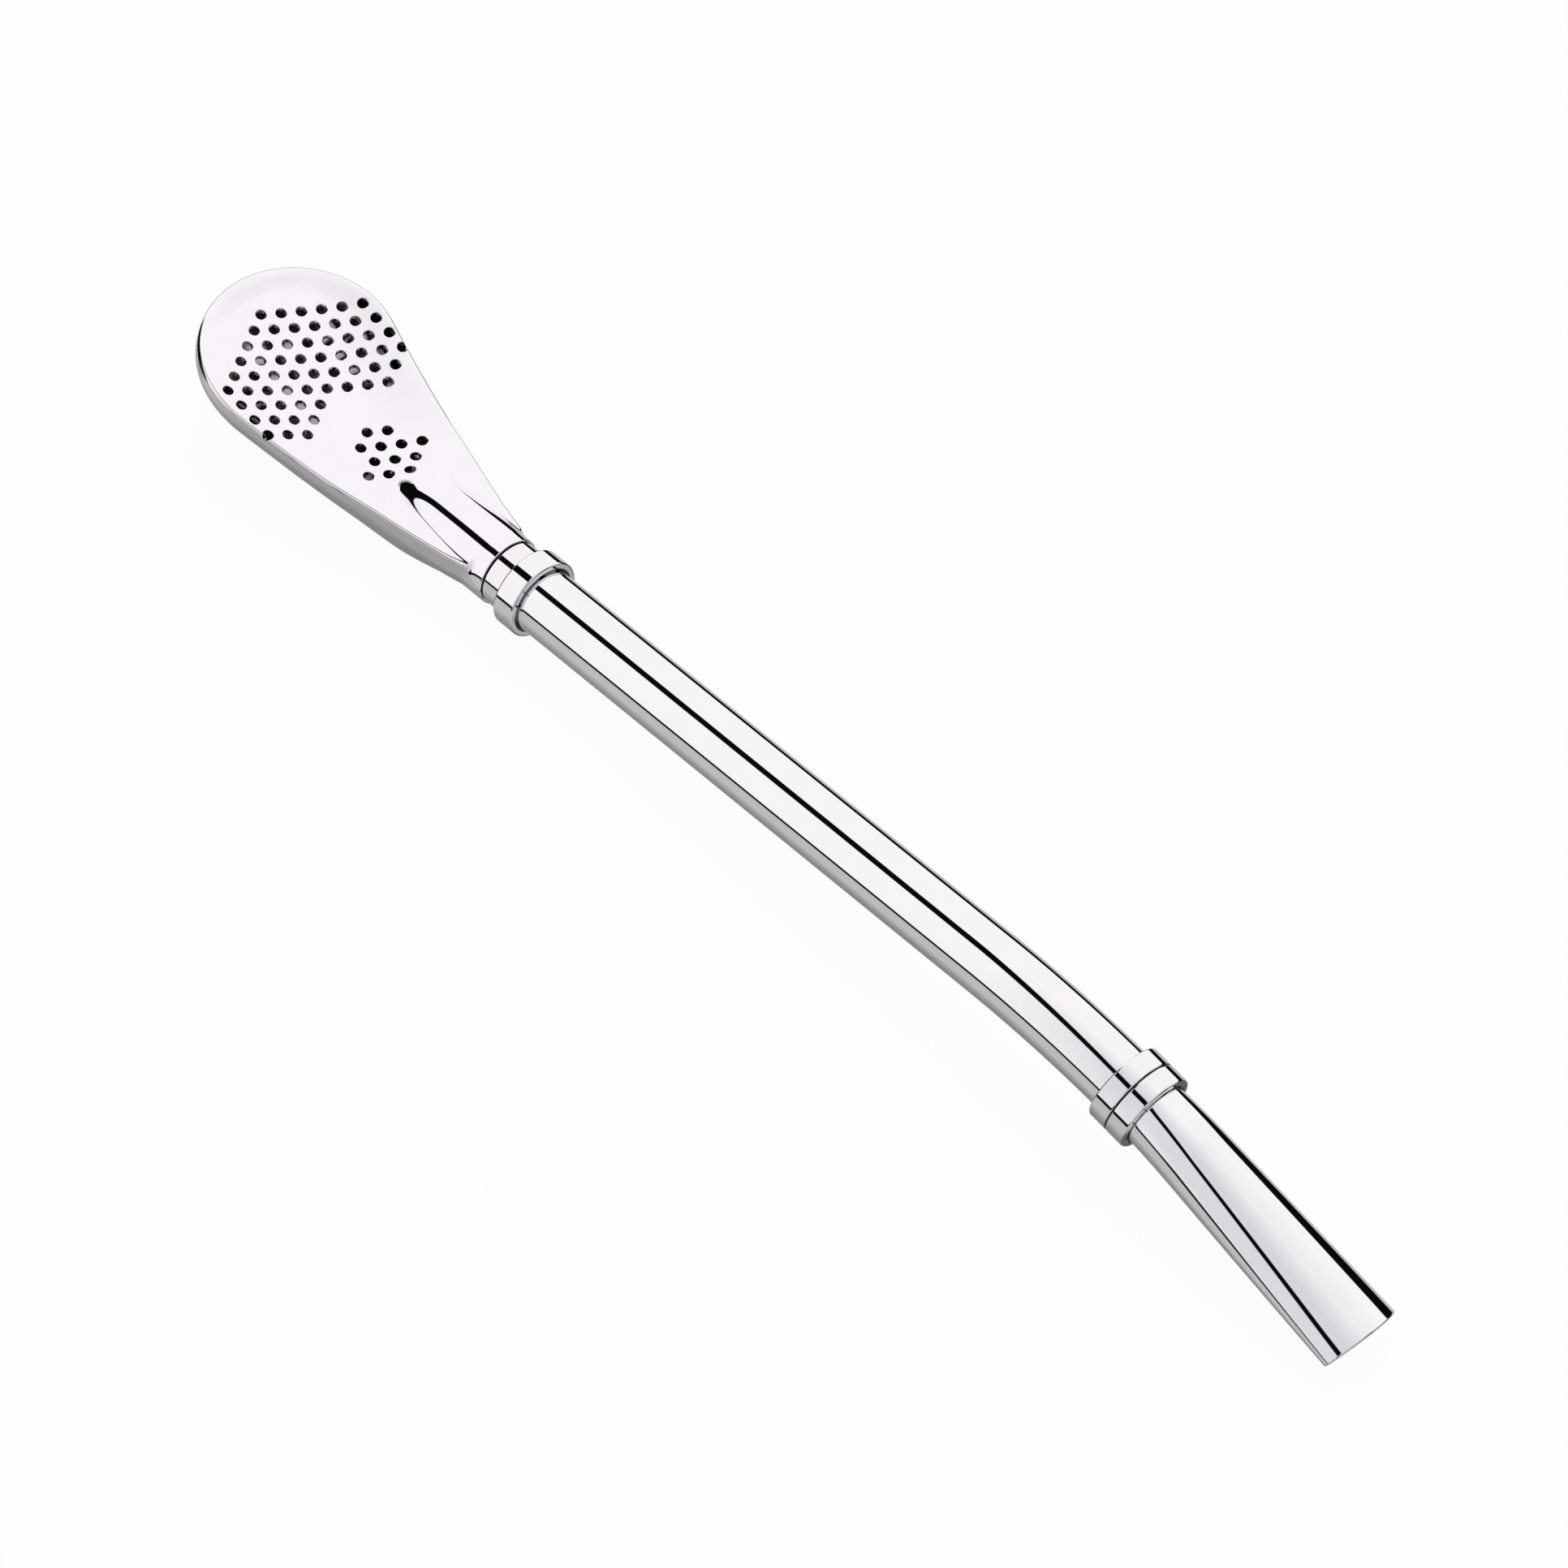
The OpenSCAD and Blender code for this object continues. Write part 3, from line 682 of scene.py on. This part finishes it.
def steel(name, tint, rough, streak, waves):
    """Polished stainless steel: fine draw marks, faint smudges, slow waves and painted
    shade.

    streak stretches the draw marks along the piece, and waves is their depth in metres."""
    material = bpy.data.materials.new(name)
    material.use_nodes = True
    tree = material.node_tree
    tree.nodes.clear()
    place = add(tree, "ShaderNodeAttribute", attribute_name="grain").outputs["Vector"]
    fine = add(tree, "ShaderNodeMapping")
    fine.inputs["Scale"].default_value = streak
    tree.links.new(place, fine.inputs["Vector"])
    scratches = add(tree, "ShaderNodeTexNoise", Scale=DRAW_MARKS, Detail=6.0, Roughness=0.7)
    tree.links.new(fine.outputs[0], scratches.inputs["Vector"])
    smudges = add(tree, "ShaderNodeTexNoise", Scale=SMUDGES, Detail=4.0, Roughness=0.6)
    tree.links.new(place, smudges.inputs["Vector"])
    slow = add(tree, "ShaderNodeTexNoise", Scale=SLOW_WAVES, Detail=1.0)
    tree.links.new(place, slow.inputs["Vector"])
    darker = tuple(c * 0.95 for c in tint[:3]) + (1,)
    colour = mix_colour(tree, smudges.outputs["Fac"], tint, darker)
    # Painted shade: the per-point share of dark colour that stands in for shade in
    # crevices.
    painted_shade = add(tree, "ShaderNodeAttribute", attribute_name="painted_shade").outputs["Fac"]
    colour = mix_colour(tree, painted_shade, colour, PAINTED_SHADE)
    metal = add(tree, "ShaderNodeBsdfPrincipled", Metallic=1.0)
    tree.links.new(colour, metal.inputs["Base Color"])
    lines = above(tree, scratches.outputs["Fac"], 0.62, 0.08)
    grain = calc(tree, "MULTIPLY_ADD", lines, rough * 0.8, rough * 0.5)
    haze = calc(tree, "MULTIPLY_ADD", smudges.outputs["Fac"], rough, grain)
    tree.links.new(haze, metal.inputs["Roughness"])
    wave = add(tree, "ShaderNodeBump", Strength=1.0, Distance=waves)
    tree.links.new(slow.outputs["Fac"], wave.inputs["Height"])
    scratch = add(tree, "ShaderNodeBump", Strength=0.15, Distance=MARK_DEPTH)
    tree.links.new(scratches.outputs["Fac"], scratch.inputs["Height"])
    tree.links.new(wave.outputs[0], scratch.inputs["Normal"])
    tree.links.new(scratch.outputs[0], metal.inputs["Normal"])
    out = add(tree, "ShaderNodeOutputMaterial")
    tree.links.new(metal.outputs[0], out.inputs["Surface"])
    return material


def put(name, mesh_parts, placement, material, dull_and_shaded=None):
    """Piece from points in millimetres, normals, faces and the grain's coordinates."""
    points, normals, faces, grain, *painted_shade = mesh_parts
    first = np.array([f[:3] for f in faces])
    a, b, c = (points[first[:, k]] for k in range(3))
    facing = np.einsum("ij,ij->i", np.cross(b - a, c - a), normals[first].sum(axis=1))
    faces = [f if d >= 0 else f[::-1] for f, d in zip(faces, facing)]
    turned = np.array(placement.to_3x3())
    mesh = bpy.data.meshes.new(name)
    at = points @ turned.T * MM + np.array(placement.translation)
    mesh.from_pydata(at.tolist(), [], faces)
    mesh.shade_smooth()
    mesh.normals_split_custom_set_from_vertices((normals @ turned.T).tolist())
    attribute = mesh.attributes.new("grain", "FLOAT_VECTOR", "POINT")
    attribute.data.foreach_set("vector", (grain * MM).astype(np.float32).ravel())
    # The per-point share of painted shade for the crevices, when given, is kept on the
    # points.
    if painted_shade:
        attribute = mesh.attributes.new("painted_shade", "FLOAT", "POINT")
        attribute.data.foreach_set("value", painted_shade[0].astype(np.float32))
    mesh.materials.append(material)
    # The second material, unpolished steel darkened as painted shade, goes on the sheet's
    # inner side.
    if dull_and_shaded:
        mesh.materials.append(dull_and_shaded)
        sheet = sum(len(f) == 3 for f in faces) // 2
        for polygon in mesh.polygons[sheet : 2 * sheet]:
            polygon.material_index = 1
    piece = bpy.data.objects.new(name, mesh)
    bpy.context.scene.collection.objects.link(piece)
    return piece


nose_at = -RIDGE_L + math.sqrt(NECK_R**2 - PLATE_OVER_NECK**2)


def face_height(x, y, drawn_in):
    fillet = FILLET + NOSE_FILLET * (1 - eased(x, NOSE_FILLET_TO))
    fillet = fillet + END_FILLET * eased(x, END_FILLET_FROM)
    fillet = fillet * (1 - eased(x, FOLD_FILLET_TO)) + 0.001

    def field(x, y, z):
        plate = z - plate_level(x, y, drawn_in)
        return -soft_max(-plate, NECK_R - drawn_in - off_neck(x, y, z, nose_at), fillet)

    return height_of(field, x, y, HIGH, -HIGH)


plate_holes = field_holes + group_holes
plate = put(
    "strainer_face_polished",
    shell(
        lambda x, y: face_height(x, y, 0) - punched(x, y, plate_holes),
        lambda x, y: face_height(x, y, SHEET),
        plate_holes,
        1,
    ),
    plate_frame,
    steel("mirror_plate", (0.975, 0.955, 0.975, 1), 0.03, (0.3, 1, 1), 0.000004),
    # The plate's under side is unpolished steel, painted darker as shade inside the closed
    # head.
    steel("dull_plate_painted_shade", (0.3, 0.29, 0.29, 1), 0.28, (0.3, 1, 1), 0.000004),
)
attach(plate, "strainer")
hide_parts("strainer_face")


# Strainer back: a deep pressed bowl of the same sheet, brazed under the plate's wall, and
# the under half of the neck. It is left unpolished inside, where the polishing wheel can't
# reach, and its colour there is painted darker as shade inside the closed head.
BOWL_DEPTH = 5.2
KEEL_BLEND = 0.8
NECK_GRIP = 5.0
SEAM_OPEN = 0.01
BOWL_POWER = 2.25


def keel_level(x):
    slope = (leave_y - NECK_R) / (round_x - leave_x)
    r = NECK_R + np.maximum(HEAD_L - NECK_GRIP - x, 0) * slope
    return soft_max(-BOWL_DEPTH, neck_level(x) - r / cos_rise, KEEL_BLEND)


def back_height(x, y, drawn_in):
    middle = np.maximum(x, HEAD_R)
    power = BOWL_POWER - (BOWL_POWER - 2) * eased(middle, JOINS)
    t = np.where(x < HEAD_R, np.hypot(x - HEAD_R, y), np.abs(y)) / (span(x) - drawn_in)
    top = join_level(x) - SEAM_OPEN
    drop = join_level(middle) - keel_level(middle) - SEAM_OPEN - drawn_in
    bowl = top - drop * (1 - np.clip(t, 0, 1) ** power) ** (1 / power)

    def field(x, y, z):
        rod = off_neck(x, y, z, -NECK_GRIP) - NECK_R + drawn_in
        return -soft_max(z - bowl, -rod, 0.02)

    return height_of(field, x, y, -HIGH, HIGH)


bowl = put(
    "strainer_back_polished",
    shell(lambda x, y: back_height(x, y, 0), lambda x, y: back_height(x, y, SHEET), [], -1),
    plate_frame,
    steel("mirror_bowl", (0.95, 0.945, 0.95, 1), 0.04, (0.3, 1, 1), 0.000004),
    # The bowl's inside is unpolished steel, painted darker as shade inside the closed head.
    steel("dull_bowl_painted_shade", (0.42, 0.41, 0.41, 1), 0.1, (0.3, 1, 1), 0.00001),
)
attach(bowl, "strainer")
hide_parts("strainer_back")


# Neck bush: a turned stainless bush soldered into the neck, with the thread that takes
# the stem's stud. Only its end shows when the strainer is unscrewed.
BUSH_L = 5.4
BRAZE_GAP = 0.02
THREAD_R = 2.75
THREAD_PLAY = 0.05
THREAD_PITCH = 0.8
THREAD_HEIGHT = 0.14
THREAD_FLAT = 1.5
AROUND = 128


def rounded(corners, longest=3.0, steps=6):
    """Closed cross-section from (along, out, rounding) corners, as points and normals.

    The solid is on the right of the way round."""
    points, normals = [], []
    for i, (s, r, rounding) in enumerate(corners):
        p = np.array([s, r], float)
        d0 = p - corners[i - 1][:2]
        d1 = np.array(corners[(i + 1) % len(corners)][:2]) - p
        d0, d1 = d0 / np.hypot(*d0), d1 / np.hypot(*d1)
        n0 = np.array([-d0[1], d0[0]])
        turn = math.atan2(d0[0] * d1[1] - d0[1] * d1[0], d0 @ d1)
        side = -math.copysign(1, turn)
        centre = p - d0 * rounding * math.tan(abs(turn) / 2) - n0 * rounding * side
        for k in range(steps + 1):
            a = turn * k / steps
            cos, sin = math.cos(a), math.sin(a)
            n = np.array([n0[0] * cos - n0[1] * sin, n0[0] * sin + n0[1] * cos])
            points.append(centre + n * rounding * side)
            normals.append(n)
    full_p, full_n = [], []
    for i, (p, n) in enumerate(zip(points, normals)):
        q, m = points[(i + 1) % len(points)], normals[(i + 1) % len(points)]
        parts = max(1, math.ceil(np.hypot(*(q - p)) / longest))
        for k in range(parts):
            full_p.append(p + (q - p) * k / parts)
            full_n.append(n if k < parts / 2 else m)
    return np.array(full_p), np.array(full_n)


def circle(s, r, phi):
    return r * np.cos(phi) + 0 * s, r * np.sin(phi) + 0 * s


def turned_piece(
    section, path=straight, around=AROUND, shape=circle, ahead=None, crevice_shade=0.0
):
    """Mesh of a cross-section carried round the middle line, its unbent points and shade.

    The shade is painted: dark colour on faces that look back along the piece or inwards,
    standing in for the shade in the corners between two pieces."""
    points, normals = section
    phi = np.linspace(0, 2 * math.pi, around, endpoint=False)
    s, r = points[:, 0][:, None], points[:, 1][:, None]
    ns, nr = normals[:, 0][:, None, None], normals[:, 1][:, None, None]

    def place(s, r, phi):
        y, z = shape(s, r, phi)
        along, up, tilt = path(s + (ahead(s, z) if ahead else 0 * z))
        return np.stack([along + z * np.sin(tilt), y, up + z * np.cos(tilt)], -1)

    def change(ds, dr, da):
        return place(s + ds, r + dr, phi + da) - place(s - ds, r - dr, phi - da)

    h = 1e-4
    by_s, by_r, by_phi = change(h, 0, 0), change(0, h, 0), change(0, 0, h)
    lit = ns * np.cross(by_r, by_phi) + nr * np.cross(by_phi, by_s)
    lit /= np.linalg.norm(lit, axis=-1, keepdims=True)
    unbent = np.stack([s + 0 * phi, r * np.cos(phi), r * np.sin(phi)], -1)
    rows, faces = len(points), []
    for i in range(rows):
        j = (i + 1) % rows
        if np.abs(points[i] - points[j]).max() < 1e-9:
            continue
        for k in range(around):
            m = (k + 1) % around
            faces.append((i * around + k, i * around + m, j * around + m, j * around + k))
    grid = place(s, r, phi)
    # Painted shade on faces that look back along the piece or inwards, where the corners
    # are.
    painted_shade = np.repeat(np.clip((-normals.min(axis=1) - 0.35) / 0.4, 0, 1) * crevice_shade, around)
    return grid.reshape(-1, 3), lit.reshape(-1, 3), faces, unbent.reshape(-1, 3), painted_shade


def threaded(mean_r, start, stop, ease_in):
    """Shape whose radius follows a right-hand thread between start and stop."""

    def shape(s, r, phi):
        phase = s / THREAD_PITCH - phi / (2 * math.pi)
        ridge = np.clip(THREAD_FLAT * np.cos(2 * math.pi * phase), -1, 1) * THREAD_HEIGHT
        fade = np.clip((s - start) / ease_in, 0, 1) * np.clip((stop - s) / ease_in, 0, 1)
        on_thread = np.clip(1 - np.abs(r - mean_r) / 0.01, 0, 1)
        return circle(s, r + ridge * fade * on_thread, phi)

    return shape


def dense_line(section, r, gap=0.08):
    """The same cross-section with its line at height r cut into short steps."""
    points, normals = section
    full_p, full_n = [], []
    for i, (p, n) in enumerate(zip(points, normals)):
        q = points[(i + 1) % len(points)]
        on_line = abs(p[1] - r) < 1e-6 and abs(q[1] - r) < 1e-6
        parts = max(1, math.ceil(abs(q[0] - p[0]) / gap)) if on_line else 1
        for k in range(parts):
            full_p.append(p + (q - p) * k / parts)
            full_n.append(n)
    return np.array(full_p), np.array(full_n)


bush_bore = THREAD_R + THREAD_PLAY
bush_out = NECK_R - SHEET - BRAZE_GAP
section = rounded(
    [
        (-SEAM_GAP, bush_bore, 0.03),
        (-SEAM_GAP - BUSH_L, bush_bore, 0.03),
        (-SEAM_GAP - BUSH_L, bush_out, 0.05),
        (-SEAM_GAP, bush_out, 0.05),
    ]
)
section = dense_line(section, bush_bore)
bush_thread = threaded(bush_bore, -SEAM_GAP - BUSH_L, -SEAM_GAP, 0.4)
bush = put(
    "neck_bush_threaded",
    turned_piece(section, shape=bush_thread),
    stem_frame,
    steel("turned_bush", (0.80, 0.79, 0.785, 1), 0.16, (1, 0.2, 0.2), 0.000001),
)
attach(bush, "bush")
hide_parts("neck_bush")


# Threaded stud: turned from bar in one piece with the polished collar that shows between
# neck and ring, bored through for the drink, its spigot brazed into the stem.
STUD_L = 4.8
STUD_BORE_R = 1.9
RELIEF = 0.2
COLLAR_R = 3.45
SPIGOT_L = 5.0
TUBE_R = 3.35
TUBE_WALL = 0.5
spigot_r = TUBE_R - TUBE_WALL - BRAZE_GAP
section = rounded(
    [
        (-STUD_L, STUD_BORE_R, 0.1),
        (-STUD_L, THREAD_R, 0.2),
        (-THREAD_PITCH, THREAD_R, 0.08),
        (-THREAD_PITCH, THREAD_R - RELIEF, 0.08),
        (0, THREAD_R - RELIEF, 0.08),
        (0, COLLAR_R, 0.1),
        (COLLAR_L, COLLAR_R, 0.02),
        (COLLAR_L, spigot_r, 0.02),
        (COLLAR_L + SPIGOT_L, spigot_r, 0.15),
        (COLLAR_L + SPIGOT_L, STUD_BORE_R, 0.1),
    ]
)
section = dense_line(section, THREAD_R)
stud_thread = threaded(THREAD_R, -STUD_L, -THREAD_PITCH, 0.35)
stud = put(
    "threaded_stud_polished",
    # Painted shade on the collar's side towards the neck and in the stud's bore.
    turned_piece(section, shape=stud_thread, crevice_shade=0.8),
    stem_frame,
    steel("turned_stud", (0.94, 0.925, 0.93, 1), 0.05, (1, 0.2, 0.2), 0.000001),
)
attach(stud, "stem")
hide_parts("threaded_stud")


# Ferrule ring: a turned and polished ring brazed round the stem's end beside the collar,
# rounded on its outer edges and bevelled where it meets the tube.
RING_R = 4.2
FERRULE_W = 2.5
RING_ROUND = 0.2
RING_BEVEL = 0.25


def band(name, width, placement, node, material):
    bore = TUBE_R + BRAZE_GAP
    section = rounded(
        [
            (0, bore, 0.04),
            (0, RING_R, RING_ROUND),
            (width, RING_R, RING_ROUND),
            (width, bore + RING_BEVEL, 0.08),
            (width - RING_BEVEL, bore, 0.03),
        ]
    )
    # Painted shade on the ring's side towards the collar or the other ring, and in its
    # bore.
    piece = put(name, turned_piece(section, crevice_shade=0.9), placement, material)
    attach(piece, "stem")
    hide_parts(node)


ring_steel = steel("polished_ring", (0.955, 0.945, 0.955, 1), 0.03, (1, 0.2, 0.2), 0.000003)
band(
    "ferrule_ring_polished",
    FERRULE_W,
    stem_frame @ Matrix.Translation((COLLAR_L * MM, 0, 0)),
    "ferrule_ring",
    ring_steel,
)


# Stem tube: drawn stainless tube, straight from the ferrule and then bent downwards in one
# long curve up to the joint. Mirror polished along its length.
section = rounded(
    [
        (COLLAR_L, TUBE_R - TUBE_WALL, 0.05),
        (COLLAR_L, TUBE_R, 0.05),
        (joint_s, TUBE_R, 0.05),
        (joint_s, TUBE_R - TUBE_WALL, 0.05),
    ],
    longest=0.8,
)
stem = put(
    "stem_tube_polished",
    turned_piece(section, bent, 160),
    stem_frame,
    steel("drawn_stem", (0.97, 0.96, 0.97, 1), 0.03, (0.06, 1, 1), 0.000012),
)
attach(stem, "stem")
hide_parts("stem_tube")


# The pair of rings over the joint of stem and mouthpiece, set back to back and brazed, so
# that their rounded edges leave one groove between them, darkened there with painted shade.
RING_W = 2.2
band("mouthpiece_ring_polished", RING_W, joint_frame, "mouthpiece_ring", ring_steel)
mirrored = joint_frame @ Matrix.Rotation(math.pi, 4, "Z")
band("stem_ring_polished", RING_W, mirrored, "stem_ring", ring_steel)


# Joint sleeve: a short thin tube inside the joint, which lines up stem and mouthpiece
# while they are brazed.
SLEEVE_L = 4.6
SLEEVE_WALL = 0.4
section = rounded(
    [
        (-SLEEVE_L / 2, spigot_r - SLEEVE_WALL, 0.05),
        (-SLEEVE_L / 2, spigot_r, 0.05),
        (SLEEVE_L / 2, spigot_r, 0.05),
        (SLEEVE_L / 2, spigot_r - SLEEVE_WALL, 0.05),
    ]
)
sleeve = put(
    "joint_sleeve_drawn",
    turned_piece(section),
    joint_frame,
    steel("drawn_sleeve", (0.80, 0.79, 0.785, 1), 0.12, (0.06, 1, 1), 0.000002),
)
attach(sleeve, "stem")
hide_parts("joint_sleeve")


# Mouthpiece: the same drawn tube, round at the joint, bent a little further down and
# pressed flat and wide towards the lips, with a smoothed edge.
MOUTH_L = 30.0
CROWN_R = 6.2
EDGE_R = 0.9
CROWN_FALL = math.radians(44.5)
ROLL = math.radians(4)
END_CUT = math.radians(14)
CUT_OVER = 2.0
MOUTH_ROOT = 2.6
MOUTH_BEND_R = 60.0
MOUTH_BEND = math.radians(5.3)


def mouth_line(s):
    past = np.maximum(s - MOUTH_ROOT, 0)
    tilt = np.minimum(past / MOUTH_BEND_R, MOUTH_BEND)
    rest = past - tilt * MOUTH_BEND_R
    along = np.minimum(s, MOUTH_ROOT) + MOUTH_BEND_R * np.sin(tilt) + rest * np.cos(tilt)
    return along, MOUTH_BEND_R * (np.cos(tilt) - 1) - rest * np.sin(tilt), tilt


def pressed(s, r, phi):
    """Section at distance s: a circle at the root, a lens with round edges at the lips."""
    share = np.clip((s - MOUTH_ROOT) / (MOUTH_L - MOUTH_ROOT), 0, 1)
    crown = TUBE_R + (CROWN_R - TUBE_R) * share
    edge = TUBE_R + (EDGE_R - TUBE_R) * share
    on_crown = np.abs(np.sin(phi)) > math.cos(CROWN_FALL)
    radius = np.where(on_crown, crown, edge) + r - TUBE_R
    middle_y = np.where(on_crown, 0, np.sign(np.cos(phi)) * math.sin(CROWN_FALL))
    middle_z = np.where(on_crown, -np.sign(np.sin(phi)) * math.cos(CROWN_FALL), 0)
    y = middle_y * (crown - edge) + radius * np.cos(phi)
    z = middle_z * (crown - edge) + radius * np.sin(phi)
    roll = ROLL * share
    return y * np.cos(roll) + z * np.sin(roll), z * np.cos(roll) - y * np.sin(roll)


def cut_back(s, z):
    """The end is cut back under the upper lip."""
    return z * math.tan(END_CUT) * np.clip((s - MOUTH_L + CUT_OVER) / CUT_OVER, 0, 1)


section = rounded(
    [
        (0, TUBE_R - TUBE_WALL, 0.05),
        (0, TUBE_R, 0.05),
        (MOUTH_L, TUBE_R, 0.2),
        (MOUTH_L, TUBE_R - TUBE_WALL, 0.2),
    ],
    longest=0.5,
)
mouth = put(
    "mouthpiece_polished",
    turned_piece(section, mouth_line, 240, pressed, cut_back),
    joint_frame,
    steel("drawn_mouthpiece", (0.97, 0.96, 0.97, 1), 0.03, (0.06, 1, 1), 0.000008),
)
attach(mouth, "stem")
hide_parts("mouthpiece")
